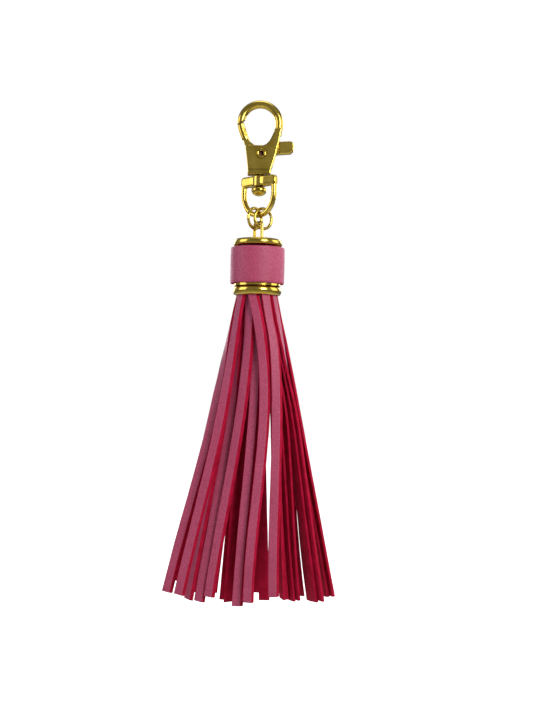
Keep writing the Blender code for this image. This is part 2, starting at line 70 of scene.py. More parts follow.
# Clasp, in millimetres
PIVOT = Vector((0.6 * MM, 0, -15.8 * MM))
HOOK_WIRE = 2.6
CAST_VOXEL = 0.10
BODY_RELAX = 44
GATE_RELAX = 30
RELAX_LOSS = 0.06
AXIS_RADIUS = 0.0002
HOOK_MID_RADIUS = 6.5
HOOK_CENTRE_Z = -5.2
NOSE_ARC = 12.9
GATE_ARC = 12.6
PLATE_DEPTH = 4.6
SLOT_DEPTH = 2.4
PIVOT_BORE = 1.4
POST_BORE = 1.5
POST_BORE_LENGTH = 6.4
POST_HEAD_TOP_Z = -27.1
BODY_BASE_Z = -22.7
HUB_DEPTH = 1.9
THUMB_DEPTH = 3.0
POCKET_RADIUS = 3.05
POCKET_DEPTH = 2.2
POCKET_CENTRE_Y = 0.95
CUTTER_LENGTH = 8
RIVET_BORE = 0.81
EYE_TURN = radians(-34)
EYE_WIDTH = 14.1
EYE_LIMB = 1.75
EYE_BAR_HEIGHT = 3.6
EYE_BAR_DEPTH = 3.4
EYE_BOSS_RADIUS = 2.15
RING_MID_RADIUS = 3.4
RING_WIRE = 1.05

# Fringe, in metres
STRIP_WIDTH = 3.5 * MM
SHEET = 0.9 * MM
CUT_SLOPE = 0.55 * MM
CUT_OVERHANG = 0.16 * MM
STRIP_SECTIONS = 84
FOOT_TURN = 7 * MM
FOOT_TAPER = 0.045
FOOT_ROUND = 0.06 * MM


# Mesh helpers

def finish_piece(name, mesh, materials, body, nodes=(), angle=40):
    """Link a finished mesh, smooth it, and hang it on the frame."""
    made = bpy.data.objects.new(name, mesh)
    bpy.context.collection.objects.link(made)
    for item in materials:
        mesh.materials.append(item)
    mesh.shade_smooth()
    mesh.set_sharp_from_angle(angle=radians(angle))
    if body:
        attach(made, body)
    if nodes:
        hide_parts(*nodes)
    return made


def mesh_from(bm, name):
    bmesh.ops.recalc_face_normals(bm, faces=bm.faces)
    mesh = bpy.data.meshes.new(name)
    bm.to_mesh(mesh)
    bm.free()
    return mesh


def skin(sections, closed=False):
    """Faces between matching sections, with the two ends capped unless the run is closed."""
    bm = bmesh.new()
    rows = [[bm.verts.new(point) for point in section] for section in sections]
    count = len(rows[0])
    pairs = list(zip(rows, rows[1:]))
    if closed:
        pairs.append((rows[-1], rows[0]))
    for first, second in pairs:
        for index in range(count):
            after = (index + 1) % count
            bm.faces.new((first[index], first[after], second[after], second[index]))
    if not closed:
        bm.faces.new(rows[0][::-1])
        bm.faces.new(rows[-1])
    return bm


def tube(path, radius, sides, normal=DEPTH, closed=False, depth_scale=1.0):
    """A round bar along a path that lies in one plane; radius is one number or one for each point."""
    radii = radius if hasattr(radius, "__len__") else [radius] * len(path)
    sections = []
    last = len(path) - 1
    for index, centre in enumerate(path):
        before = path[index - 1] if closed or index > 0 else path[0]
        after = path[(index + 1) % len(path)] if closed or index < last else path[last]
        side = (after - before).normalized().cross(normal)
        ring = []
        for corner in range(sides):
            turn = 2 * pi * corner / sides
            ring.append(centre + (side * cos(turn) + normal * sin(turn) * depth_scale) * radii[index])
        sections.append(ring)
    return skin(sections, closed)


def lathe(profile, steps):
    """Turn a closed (radius, height) profile about Z."""
    sections = []
    for step in range(steps):
        angle = 2 * pi * step / steps
        sections.append([Vector((r * cos(angle), r * sin(angle), z)) for r, z in profile])
    return skin(sections, closed=True)


def slab(outline, depth, centre_y=0.0):
    """A flat plate from an outline of (x, z) points in millimetres."""
    front = [Vector((x, centre_y - depth / 2, z)) * MM for x, z in outline]
    back = [Vector((x, centre_y + depth / 2, z)) * MM for x, z in outline]
    return skin([front, back])


def arc(centre_x, centre_z, radius, start, end, steps):
    points = []
    for step in range(steps + 1):
        angle = radians(start + (end - start) * step / steps)
        points.append((centre_x + radius * cos(angle), centre_z + radius * sin(angle)))
    return points


def pivot_arc(radius, start, end, steps=10):
    return arc(PIVOT.x / MM, PIVOT.z / MM, radius, start, end, steps)


def rod(centre, radius, length, axis):
    """A round cutter along an axis, all in millimetres."""
    bm = bmesh.new()
    bmesh.ops.create_cone(bm, cap_ends=True, segments=40, radius1=radius * MM, radius2=radius * MM,
                          depth=length * MM)
    turn = axis.to_track_quat("Z", "Y").to_matrix().to_4x4()
    bmesh.ops.transform(bm, matrix=Matrix.Translation(Vector(centre) * MM) @ turn, verts=bm.verts)
    return bm


def curve_points(points, steps):
    """A smooth line through (x, z) points in millimetres, as vectors in metres."""
    knots = np.arange(len(points), dtype=float)
    at = np.linspace(0, knots[-1], steps)
    x = smooth_line([p[0] for p in points], knots, at)
    z = smooth_line([p[1] for p in points], knots, at)
    return [Vector((a, 0, b)) * MM for a, b in zip(x, z)]


def smooth_line(values, knots, at):
    """Hermite interpolation through values at knots, which may be unevenly spaced."""
    values = np.asarray(values, float)
    slopes = np.gradient(values, knots)
    index = np.clip(np.searchsorted(knots, at, side="right") - 1, 0, len(knots) - 2)
    span = knots[index + 1] - knots[index]
    t = (at - knots[index]) / span
    start = (1 + 2 * t) * (1 - t) ** 2 * values[index] + t * (1 - t) ** 2 * span * slopes[index]
    end = t * t * (3 - 2 * t) * values[index + 1] + t * t * (t - 1) * span * slopes[index + 1]
    return start + end


def cast(name, solids, cutters, voxel, relax):
    """One cast mesh: the solids fused, the cutters taken out, and every edge softened."""
    objects = []
    for index, bm in enumerate(solids + cutters):
        made = bpy.data.objects.new(f"{name}_guide_{index}", mesh_from(bm, name))
        bpy.context.collection.objects.link(made)
        objects.append(made)
    target = objects[0]
    for index, other in enumerate(objects[1:], 1):
        cut = target.modifiers.new("Boolean", "BOOLEAN")
        cut.operation = "UNION" if index < len(solids) else "DIFFERENCE"
        cut.object = other
        cut.solver = "EXACT"
    remesh = target.modifiers.new("Remesh", "REMESH")
    remesh.mode = "VOXEL"
    remesh.voxel_size = voxel * MM
    soften = target.modifiers.new("Smooth", "SMOOTH")
    soften.factor = 0.5
    soften.iterations = relax
    graph = bpy.context.evaluated_depsgraph_get()
    mesh = bpy.data.meshes.new_from_object(target.evaluated_get(graph))
    for made in objects:
        bpy.data.objects.remove(made, do_unlink=True)
    return mesh


# Materials

class Surface:
    """A small node-tree builder round one Principled shader."""

    def __init__(self, name):
        self.material = bpy.data.materials.new(name)
        self.material.use_nodes = True
        self.tree = self.material.node_tree
        self.shader = next(n for n in self.tree.nodes if n.type == "BSDF_PRINCIPLED")

    def node(self, kind, settings=None, **inputs):
        made = self.tree.nodes.new("ShaderNode" + kind)
        for key, value in (settings or {}).items():
            setattr(made, key, value)
        for key, value in inputs.items():
            self.feed(made.inputs[key.replace("_", " ")], value)
        return made

    def feed(self, socket, value):
        if isinstance(value, bpy.types.NodeSocket):
            self.tree.links.new(value, socket)
        else:
            socket.default_value = value

    def place(self, source, scale=(1, 1, 1)):
        coordinates = self.node("TexCoord")
        return self.node("Mapping", Vector=coordinates.outputs[source], Scale=scale).outputs[0]

    def noise(self, vector, scale, detail=3.0, roughness=0.55, distortion=0.0):
        made = self.node("TexNoise", Vector=vector, Scale=scale, Detail=detail, Roughness=roughness,
                         Distortion=distortion)
        return made.outputs["Fac"]

    def ramp(self, value, low, high, start=0.0, end=1.0):
        """Remap a value from one range to another, clamped."""
        made = self.node("MapRange", Value=value)
        for key, number in (("From Min", low), ("From Max", high), ("To Min", start), ("To Max", end)):
            made.inputs[key].default_value = number
        return made.outputs[0]

    def mix(self, factor, first, second, blend="MIX"):
        made = self.node("Mix", {"data_type": "RGBA", "blend_type": blend})
        self.feed(made.inputs[0], factor)
        self.feed(made.inputs[6], first)
        self.feed(made.inputs[7], second)
        return made.outputs[2]

    def math(self, operation, first, second):
        made = self.node("Math", {"operation": operation})
        self.feed(made.inputs[0], first)
        self.feed(made.inputs[1], second)
        return made.outputs[0]

    def bump(self, height, distance, strength=1.0, below=None):
        made = self.node("Bump", Height=height, Distance=distance, Strength=strength)
        if below is not None:
            self.feed(made.inputs["Normal"], below)
        return made.outputs[0]

    def set(self, **inputs):
        for key, value in inputs.items():
            self.feed(self.shader.inputs[key.replace("_", " ")], value)


def color(red, green, blue):
    return (red, green, blue, 1.0)


def gold_plate():
    """Polished thin gold plating over a cast or turned blank, a little paler in worn specks."""
    s = Surface("gold_plate")
    place = s.place("Object")
    cloud = s.noise(place, 170.0, 4.0)
    fine = s.noise(place, 2600.0, 2.0)
    scratch = s.noise(s.place("Object", (500, 500, 5200)), 1.0, 3.0, 0.6, 0.4)
    base = s.mix(s.ramp(cloud, 0.32, 0.68), color(0.46, 0.318, 0.044), color(0.60, 0.440, 0.082))
    worn = s.ramp(s.noise(place, 900.0, 5.0, 0.65), 0.60, 0.74, 0.0, 0.35)
    base = s.mix(worn, base, color(0.74, 0.60, 0.24))
    haze = s.math("ADD", s.ramp(cloud, 0.3, 0.75, 0.14, 0.22), s.ramp(scratch, 0.5, 0.8, 0.0, 0.06))
    grain = s.bump(s.math("ADD", fine, s.math("MULTIPLY", scratch, 0.8)), 0.002 * MM, 0.5)
    s.set(Base_Color=base, Metallic=1.0, Roughness=haze, Normal=grain)
    return s.material


def painted_bore_shade():
    """Dark reddish-brown inside of the rivet's blind holes, painted shade for the hollow."""
    s = Surface("painted_bore_shade")
    place = s.place("Object")
    cloud = s.noise(place, 1300.0, 4.0)
    # Dark reddish-brown base colour is painted shade inside the hole
    base = s.mix(cloud, color(0.075, 0.012, 0.008), color(0.20, 0.045, 0.025))
    s.set(Base_Color=base, Metallic=0.4, Roughness=s.ramp(cloud, 0.3, 0.7, 0.40, 0.65),
          Normal=s.bump(cloud, 0.03 * MM))
    return s.material


def spring_steel():
    s = Surface("spring_steel")
    place = s.place("Object")
    drawn = s.noise(place, 3000.0, 3.0)
    base = s.mix(drawn, color(0.42, 0.42, 0.43), color(0.66, 0.66, 0.67))
    s.set(Base_Color=base, Metallic=1.0, Roughness=s.ramp(drawn, 0.3, 0.7, 0.25, 0.42),
          Normal=s.bump(drawn, 0.006 * MM))
    return s.material


def grain_height(s, place):
    """Pebble grain of the printed skin, its pores and the fine cross wrinkles."""
    wander = s.node("TexNoise", Vector=place, Scale=1.3, Detail=2.0).outputs["Color"]
    warp = s.mix(0.16, place, wander, "ADD")
    pebble = s.node("TexVoronoi", {"feature": "SMOOTH_F1"}, Vector=warp, Scale=2.1, Smoothness=0.6)
    fine = s.noise(place, 5.5, 3.0, 0.6)
    stretched = s.node("Mapping", Vector=place, Scale=(0.28, 1.5, 1.0)).outputs[0]
    wrinkle = s.noise(stretched, 1.4, 3.0, 0.6, 0.5)
    pebbles = s.math("SUBTRACT", 1.0, pebble.outputs["Distance"])
    return pebbles, fine, wrinkle


def pink_leather():
    """Satin printed skin. UVs are in millimetres: across the piece, then along it."""
    s = Surface("pink_leather")
    place = s.place("UV")
    pebbles, fine, wrinkle = grain_height(s, place)
    cloud = s.noise(s.place("Object"), 60.0, 3.0)
    base = s.mix(s.ramp(cloud, 0.3, 0.7), color(0.385, 0.046, 0.105), color(0.455, 0.062, 0.136))
    base = s.mix(s.ramp(pebbles, 0.72, 0.40, 0.0, 0.5), base, color(0.250, 0.020, 0.060))
    base = s.mix(s.ramp(wrinkle, 0.60, 0.78, 0.0, 0.35), base, color(0.520, 0.105, 0.190))
    edge = s.ramp(s.node("Attribute", {"attribute_name": "edge"}).outputs["Fac"], 0.55, 1.0, 0.0, 0.75)
    base = s.mix(edge, base, color(0.290, 0.010, 0.036))
    height = s.math("ADD", s.math("MULTIPLY", pebbles, 0.8), s.math("MULTIPLY", fine, 0.25))
    relief = s.bump(wrinkle, 0.06 * MM, 0.8)
    relief = s.bump(height, 0.05 * MM, 0.9, relief)
    s.set(Base_Color=base, Roughness=s.ramp(pebbles, 0.4, 0.9, 0.60, 0.46), Normal=relief,
          Sheen_Weight=0.10, Sheen_Roughness=0.45, Sheen_Tint=color(0.75, 0.60, 1.0),
          Specular_IOR_Level=0.46)
    return s.material


def crimson_backing():
    """Napped backing and dyed cut edges."""
    s = Surface("crimson_backing")
    place = s.place("UV")
    nap = s.noise(s.node("Mapping", Vector=place, Scale=(1.0, 0.35, 1.0)).outputs[0], 6.0, 4.0, 0.65, 0.3)
    cloud = s.noise(place, 0.35, 3.0)
    base = s.mix(s.ramp(cloud, 0.3, 0.7), color(0.300, 0.0022, 0.019), color(0.430, 0.0042, 0.036))
    base = s.mix(s.ramp(nap, 0.55, 0.8, 0.0, 0.5), base, color(0.54, 0.007, 0.066))
    s.set(Base_Color=base, Roughness=s.ramp(nap, 0.3, 0.8, 0.70, 0.90), Normal=s.bump(nap, 0.05 * MM),
          Sheen_Weight=0.03, Sheen_Roughness=0.5, Sheen_Tint=color(1.0, 0.2, 0.35), Specular_IOR_Level=0.10)
    return s.material


def pale_floor():
    """Matt pale floor that brightens away from the charm into the white of the studio."""
    s = Surface("pale_floor")
    place = s.place("Object")
    cloud = s.noise(place, 6.0, 4.0)
    base = s.mix(cloud, color(0.70, 0.70, 0.70), color(0.75, 0.75, 0.75))
    flat = s.place("Object", (1, 1, 0))
    reach = s.node("VectorMath", {"operation": "LENGTH"}, Vector=flat).outputs["Value"]
    seen = s.node("LightPath").outputs["Is Camera Ray"]
    glow = s.math("MULTIPLY", s.ramp(reach, 0.12, 0.60, 0.75, 1.0), seen)
    s.set(Base_Color=base, Roughness=0.8, Normal=s.bump(s.noise(place, 300.0), 0.1 * MM, 0.2),
          Emission_Color=color(1, 1, 1), Emission_Strength=glow)
    return s.material


# Clasp

def hook_solids():
    """Round hook, the flat body that it runs into, and the collar that holds the swivel post."""
    line = [(-6.6, -7.6)]
    line += arc(0, HOOK_CENTRE_Z, HOOK_MID_RADIUS, 180, 0, 40)
    line += [(6.45, -6.6), (6.15, -8.4), (5.6, -10.4), (4.9, -12.6), (4.2, -14.8)]
    hook = tube([Vector((x, 0, z)) * MM for x, z in line], (HOOK_WIRE / 2 + RELAX_LOSS) * MM, 32)
    web = [(-4.95, -12.95), (1.2, -12.95), (2.2, -12.5), (3.1, -11.6), (3.9, -10.2), (4.6, -8.6),
           (5.0, -7.2), (7.3, -7.0), (6.75, -10.6), (5.35, -16.4), (3.9, -21.4), (-3.9, -21.4)]
    plate = slab(web, PLATE_DEPTH - 0.1)
    collar = slab([(-3.95, -21.3), (3.9, -21.3), (3.8, -22.7), (-4.0, -22.7)], PLATE_DEPTH + 0.15)
    return [hook, plate, collar]


def make_hook(gold):
    slot = slab([(-9.0, -6.0), (-5.3, -6.2), (-2.2, -11.2), (5.0, -9.4), (12.5, -9.4), (12.5, -17.9),
                 (4.2, -18.6), (-4.2, -18.6), (-9.0, -12.0)], SLOT_DEPTH)
    nose = slab(pivot_arc(NOSE_ARC, 112, 142) + [(-10.0, -10.0), (-5.0, -10.0)], 2 * HOOK_WIRE)
    bore = rod(PIVOT / MM, PIVOT_BORE, 3 * PLATE_DEPTH, DEPTH)
    post_bore = rod((0, 0, BODY_BASE_Z), POST_BORE, POST_BORE_LENGTH, UP)
    mesh = cast("hook", hook_solids(), [slot, nose, bore, post_bore], CAST_VOXEL, BODY_RELAX)
    return finish_piece("clasp_hook", mesh, [gold], "clasp_body", ["hook_body"], 70)


def make_gate(gold):
    """Gate arm nearly as thick as the hook, hub inside the slot, and the thumb lever."""
    hub = pivot_arc(GATE_ARC, 129.5, 120, 3)
    hub += [(-3.3, -11.6), (-0.6, -13.4), (1.4, -13.2), (4.0, -11.6), (10.4, -11.1), (11.3, -11.7),
            (11.6, -12.9), (11.5, -14.2), (10.6, -15.4), (5.0, -15.9), (2.3, -17.9), (-0.6, -18.1),
            (-2.9, -16.4), (-5.2, -12.4)]
    flat = slab(hub, HUB_DEPTH)
    arm = tube(curve_points([(-6.75, -4.9), (-6.25, -7.2), (-5.45, -9.4), (-4.55, -11.5)], 18),
               [1.20 * MM] * 15 + [1.08 * MM, 0.95 * MM, 0.8 * MM], 24)
    thumb = slab([(6.7, -11.5), (10.3, -11.25), (11.3, -11.9), (11.6, -13.0), (11.4, -14.3), (10.4, -15.2),
                  (6.7, -15.5)], THUMB_DEPTH)
    lip = tube(curve_points([(6.9, -15.1), (8.6, -15.1), (10.2, -14.9), (11.1, -14.2)], 12), 0.55 * MM, 12,
               depth_scale=2.7)
    past = pivot_arc(GATE_ARC, 110, 144) + [(-14.0, -3.0), (-9.0, 3.0), (-1.0, 1.0)]
    beyond_nose = slab(past, 2 * HOOK_WIRE)
    bore = rod(PIVOT / MM, PIVOT_BORE, CUTTER_LENGTH, DEPTH)
    pocket = rod((PIVOT.x / MM, POCKET_CENTRE_Y, PIVOT.z / MM), POCKET_RADIUS, POCKET_DEPTH, DEPTH)
    mesh = cast("gate", [flat, arm, thumb, lip], [beyond_nose, bore, pocket], CAST_VOXEL, GATE_RELAX)
    return finish_piece("clasp_gate", mesh, [gold], "gate", ["gate_lever"], 70)


def make_rivet(gold, dark):
    """Rivet with rolled lips and a blind hole in each end, its inside painted dark as shade."""
    half = PLATE_DEPTH / 2
    lip = [(1.1, half + 0.2), (1.5, half + 0.2), (1.56, half + 0.32), (1.5, half + 0.5), (1.3, half + 0.6),
           (1.0, half + 0.56), (0.84, half + 0.42), (0.76, half + 0.15), (0.75, half - 0.9),
           (AXIS_RADIUS, half - 1.0)]
    profile = lip + [(r, -z) for r, z in reversed(lip)]
    bm = lathe([(r * MM, z * MM) for r, z in profile], 48)
    place = Matrix.Translation(PIVOT) @ Matrix.Rotation(pi / 2, 4, "X")
    bmesh.ops.transform(bm, matrix=place, verts=bm.verts)
    mesh = mesh_from(bm, "rivet")
    # Faces inside the bore radius take the painted shade of the hole
    for face in mesh.polygons:
        offset = face.center - PIVOT
        if Vector((offset.x, offset.z)).length < RIVET_BORE * MM:
            face.material_index = 1
    return finish_piece("clasp_rivet", mesh, [gold, dark], "clasp_body", ["pivot_rivet"], 60)


def make_spring(steel):
    """Torsion spring round the rivet, in the pocket behind the lever's hub."""
    turns = 2
    steps = 24
    pitch = 0.4
    front = 0.05
    wire = 0.16 * MM
    radius = 2.0 * MM
    leg = 1.4 * MM
    first = radians(200)
    path = []
    for step in range(turns * steps + 1):
        angle = 2 * pi * step / steps + first
        rise = DEPTH * (front + pitch * step / steps) * MM
        path.append(PIVOT + Vector((cos(angle), 0, sin(angle))) * radius + rise)
    along = Vector((-sin(first), 0, cos(first)))
    path = [path[0] - along * leg] + path + [path[-1] + along * leg]
    mesh = mesh_from(tube(path, wire, 10), "spring")
    return finish_piece("clasp_spring", mesh, [steel], "gate", ["gate_spring"], 60)


def make_post(gold):
    """Shank and domed rivet head of the swivel."""
    low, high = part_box("swivel_post")
    head = (high.x - low.x) / 2
    shank = 1.2 * MM
    under = POST_HEAD_TOP_Z * MM
    profile = [(AXIS_RADIUS * MM, high.z), (shank, high.z), (shank, under + 0.25 * MM)]
    profile += [(shank + 0.2 * MM, under)]
    profile += [(head * 0.80, under), (head * 0.95, under - 0.16 * MM), (head, under - 0.5 * MM)]
    rim = 0.8 * MM
    dome = under - rim - low.z
    steps = 11
    for step in range(steps + 1):
        turn = radians(2 + 86 * step / steps)
        profile.append((head * cos(turn), under - rim - dome * sin(turn)))
    profile.append((AXIS_RADIUS * MM, low.z))
    return finish_piece("swivel_rivet_post", mesh_from(lathe(profile, 64), "post"), [gold], "clasp_body",
                        ["swivel_post"], 50)


def eye_bar(width, limb, top, height, depth):
    """Bar of the eye, deepest round the post and thinner where it runs into the limbs."""
    shares = (-1.0, -0.94, -0.86, -0.36, 0.36, 0.86, 0.94, 1.0)
    depths = (limb, 1.15 * limb, 1.25 * limb, depth, depth, 1.25 * limb, 1.15 * limb, limb)
    heights = (0.62, 0.86, 1.0, 1.0, 1.0, 1.0, 0.86, 0.62)
    squareness = 0.42
    sides = 28
    sections = []
    for share in np.linspace(-1, 1, 41):
        reach = np.interp(share, shares, depths) / 2
        rise = np.interp(share, shares, heights) * height / 2
        ring = []
        for corner in range(sides):
            turn = 2 * pi * (corner + 0.5) / sides
            across = np.sign(cos(turn)) * abs(cos(turn)) ** squareness * reach
            up = np.sign(sin(turn)) * abs(sin(turn)) ** squareness * rise
            ring.append(Vector((share * width / 2, across, top - height / 2 + up)) * MM)
        sections.append(ring)
    return skin(sections)


def make_eye(gold):
    """Heavy bar with a D-shaped limb under it, cast in one piece."""
    low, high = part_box("swivel_eye")
    half = (EYE_WIDTH - EYE_LIMB) / 2
    top = high.z / MM - EYE_BAR_HEIGHT / 2
    drop = top - low.z / MM - EYE_LIMB / 2
    straight = 0.34
    roundness = 0.92
    inset = 0.97
    steps = 40
    line = [(-half * inset, top)]
    for step in range(steps + 1):
        angle = pi + pi * step / steps
        reach = abs(cos(angle)) ** roundness
        line.append((half * (1 if cos(angle) > 0 else -1) * reach,
                     top - drop * straight + drop * (1 - straight) * sin(angle)))
    line.append((half * inset, top))
    limbs = tube([Vector((x, 0, z)) * MM for x, z in line], (EYE_LIMB / 2 + RELAX_LOSS) * MM, 24,
                 depth_scale=1.1)
    bar = eye_bar(EYE_WIDTH, EYE_LIMB, high.z / MM, EYE_BAR_HEIGHT, EYE_BAR_DEPTH)
    boss = rod((0, 0, top), EYE_BOSS_RADIUS, EYE_BAR_HEIGHT, UP)
    bore = rod((0, 0, top), POST_BORE, CUTTER_LENGTH, UP)
    mesh = cast("eye", [limbs, bar, boss], [bore], CAST_VOXEL, BODY_RELAX)
    mesh.transform(Matrix.Rotation(EYE_TURN, 4, "Z"))
    return finish_piece("swivel_eye_cast", mesh, [gold], "eye", ["swivel_eye"], 70)


def make_ring(name, node, body, gold, joint):
    """Jump ring bent from wire, with the fine butt joint where its ends meet."""
    low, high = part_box(node)
    centre = (low + high) / 2
    spread_x = (high.x - low.x - RING_WIRE * MM) / 2
    turn = acos(min(1, spread_x / (RING_MID_RADIUS * MM)))
    across = Vector((cos(turn), sin(turn), 0))
    gap = radians(1.3)
    steps = 120
    path = []
    for step in range(steps + 1):
        angle = joint + gap + (2 * pi - 2 * gap) * step / steps
        path.append(centre + (across * cos(angle) + UP * sin(angle)) * RING_MID_RADIUS * MM)
    mesh = mesh_from(tube(path, RING_WIRE / 2 * MM, 28, across.cross(UP)), name)
    return finish_piece(name, mesh, [gold], body, [node], 50)


def make_cap_loop(gold):
    """Staple whose two legs go down through the lid."""
    low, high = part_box("cap_loop")
    wire = 0.55 * MM
    turn = radians(-55)
    half = 2.2 * MM
    corner = 1.0 * MM
    top = high.z - wire
    path = [Vector((-half, 0, low.z)), Vector((-half, 0, (low.z + top) / 2))]
    for centre, start, end in ((-half + corner, 180, 90), (half - corner, 90, 0)):
        path += [Vector((x, 0, z)) for x, z in arc(centre, top - corner, corner, start, end, 10)]
    path += [Vector((half, 0, (low.z + top) / 2)), Vector((half, 0, low.z))]
    mesh = mesh_from(tube(path, wire, 18), "staple")
    mesh.transform(Matrix.Rotation(turn, 4, "Z"))
    return finish_piece("cap_staple", mesh, [gold], "tassel", ["cap_loop"], 50)


def smooth_profile(points, steps):
    """A smooth run of (radius, height) pairs through the points."""
    knots = np.arange(len(points), dtype=float)
    at = np.linspace(0, knots[-1], steps)
    radii = smooth_line([p[0] for p in points], knots, at)
    heights = smooth_line([p[1] for p in points], knots, at)
    return list(zip(radii, heights))


def make_lid(gold):
    """Turned lid with a rolled rim."""
    low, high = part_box("cap_top_disc")
    rim = (high.x - low.x) / 2
    top = high.z - 0.12 * MM
    outer = [(0.50 * rim, high.z), (0.80 * rim, top + 0.06 * MM), (0.92 * rim, top - 0.12 * MM),
             (0.975 * rim, top - 0.5 * MM), (rim, top - 1.15 * MM), (0.992 * rim, top - 1.8 * MM),
             (0.95 * rim, low.z + 0.2 * MM), (0.90 * rim, low.z)]
    profile = [(AXIS_RADIUS * MM, high.z)] + smooth_profile(outer, 40)
    profile += [(0.80 * rim, low.z), (0.78 * rim, low.z + 1.2 * MM), (AXIS_RADIUS * MM, low.z + 1.2 * MM)]
    mesh = mesh_from(lathe(profile, 128), "lid")
    return finish_piece("cap_lid", mesh, [gold], "tassel", ["cap_top_disc"], 35)


def make_sleeve(gold):
    low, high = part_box("cap_sleeve")
    rim = (high.x - low.x) / 2
    wall = 0.6 * MM
    profile = [(rim, high.z), (rim, low.z), (rim - wall, low.z), (rim - wall, high.z)]
    return finish_piece("cap_tube", mesh_from(lathe(profile, 96), "tube"), [gold], "tassel", ["cap_sleeve"],
                        35)


def make_lower_ring(gold):
    """Turned ring that closes the cap over the top of the fringe."""
    low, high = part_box("bottom_ring")
    rim = (high.x - low.x) / 2
    bore = 7.05 * MM
    height = high.z - low.z
    outer = [(0.925 * rim, high.z), (0.975 * rim, high.z - 0.14 * height), (rim, high.z - 0.38 * height),
             (0.998 * rim, high.z - 0.6 * height), (0.97 * rim, low.z + 0.13 * height),
             (0.925 * rim, low.z)]
    profile = smooth_profile(outer, 30)
    profile += [(bore + 0.3 * MM, low.z), (bore, low.z + 0.3 * MM), (bore, high.z)]
    return finish_piece("cap_lower_ring", mesh_from(lathe(profile, 128), "ring"), [gold], "tassel",
                        ["bottom_ring"], 35)


# Leather

def paint_edges(mesh, values):
    """How near each vertex is to a cut edge, from 0 in the middle to 1 on the edge."""
    attribute = mesh.attributes.new("edge", "FLOAT", "POINT")
    attribute.data.foreach_set("value", np.asarray(values, np.float32))


def make_band(pink, crimson):
    """Leather wrapped round the cap, its butt seam at the back."""
    low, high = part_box("leather_band")
    outer = (high.x - low.x) / 2
    inner = outer - 0.95 * MM
    height = high.z - low.z
    rows = 22
    soft = 0.28 * MM
    face = []
    for step in range(rows + 1):
        t = step / rows
        crown = 0.07 * MM * (1 - (2 * t - 1) ** 2)
        face.append((outer - 0.07 * MM + crown, high.z - soft - (height - 2 * soft) * t))
    turn_top = [(outer - 0.62 * soft, high.z - 0.04 * MM), (outer - 0.30 * MM * 0.62, high.z - 0.45 * soft)]
    turn_low = [(r, high.z + low.z - z) for r, z in reversed(turn_top)]
    profile = [(inner + 0.1 * MM, high.z)] + turn_top + face + turn_low
    profile += [(inner + 0.1 * MM, low.z), (inner, low.z + 0.1 * MM), (inner, high.z - 0.1 * MM)]
    seam = radians(1.3)
    steps = 168
    rng = random.Random(11)
    phases = [rng.uniform(0, 2 * pi) for _ in range(4)]
    sections = []
    for step in range(steps + 1):
        angle = pi / 2 + seam + (2 * pi - 2 * seam) * step / steps
        tuck = 0.16 * MM * (np.exp(-step / 3.0) + np.exp(-(steps - step) / 3.0))
        ring = []
        for r, z in profile:
            t = (high.z - z) / height
            waves = sin(3 * angle + phases[0] + 2.5 * t) + 0.6 * sin(7 * angle + phases[1] - 4 * t)
            ripple = 0.035 * MM * waves
            grip = ripple if r > inner + 0.3 * MM else 0
            rise = 0.03 * MM * sin(5 * angle + phases[2]) if r > inner + 0.05 * MM else 0
            radius = r + grip - (tuck if r > inner + 0.3 * MM else 0)
            ring.append(Vector((radius * cos(angle), radius * sin(angle), z + rise * (1 - 2 * t))))
        sections.append(ring)
    mesh = mesh_from(skin(sections), "band")
    layer = mesh.uv_layers.new(name="leather")
    for loop in mesh.loops:
        spot = mesh.vertices[loop.vertex_index].co
        around = atan2(spot.x, -spot.y)
        layer.data[loop.index].uv = (spot.z / MM, around * outer / MM)
    edge = []
    for vertex in mesh.vertices:
        t = abs((vertex.co.z - (low.z + high.z) / 2) / (height / 2))
        edge.append(max(0.0, (t - 0.90) / 0.10))
    paint_edges(mesh, edge)
    for polygon in mesh.polygons:
        spot = polygon.center
        radius = Vector((spot.x, spot.y)).length
        outside = radius > outer - 0.24 * MM and abs(polygon.normal.z) < 0.75
        polygon.material_index = 0 if outside else 1
    return finish_piece("cap_leather_band", mesh, [pink, crimson], "tassel", ["leather_band"],
                        55)


def read_levels(node):
    """Height, centre and facing angle of a CAD strip at each of its levels, top first."""
    points = sorted(((v.co.z, v.co.x, v.co.y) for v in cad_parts[node].data.vertices), reverse=True)
    groups = []
    for z, x, y in points:
        if not groups or groups[-1][0][0] - z > 0.1 * MM:
            groups.append([])
        corner = Vector((x, y))
        if all((corner - known[1]).length > 0.05 * MM for known in groups[-1]):
            groups[-1].append((z, corner))
    heights, centres, angles = [], [], []
    outward = None
    for group in groups:
        if len(group) < 4:
            continue
        corners = [corner for _, corner in group]
        centre = sum(corners, Vector((0, 0))) / len(corners)
        sides = sorted((corner - corners[0] for corner in corners[1:]), key=lambda v: v.length)
        wide = sides[1].normalized()
        facing = Vector((wide.y, -wide.x))
        if facing.dot(outward or centre) < 0:
            facing = -facing
        outward = facing
        angle = atan2(facing.y, facing.x)
        if angles:
            angle = angles[-1] + (angle - angles[-1] + pi) % (2 * pi) - pi
        heights.append(group[0][0])
        centres.append(centre)
        angles.append(angle)
    return heights, centres, angles


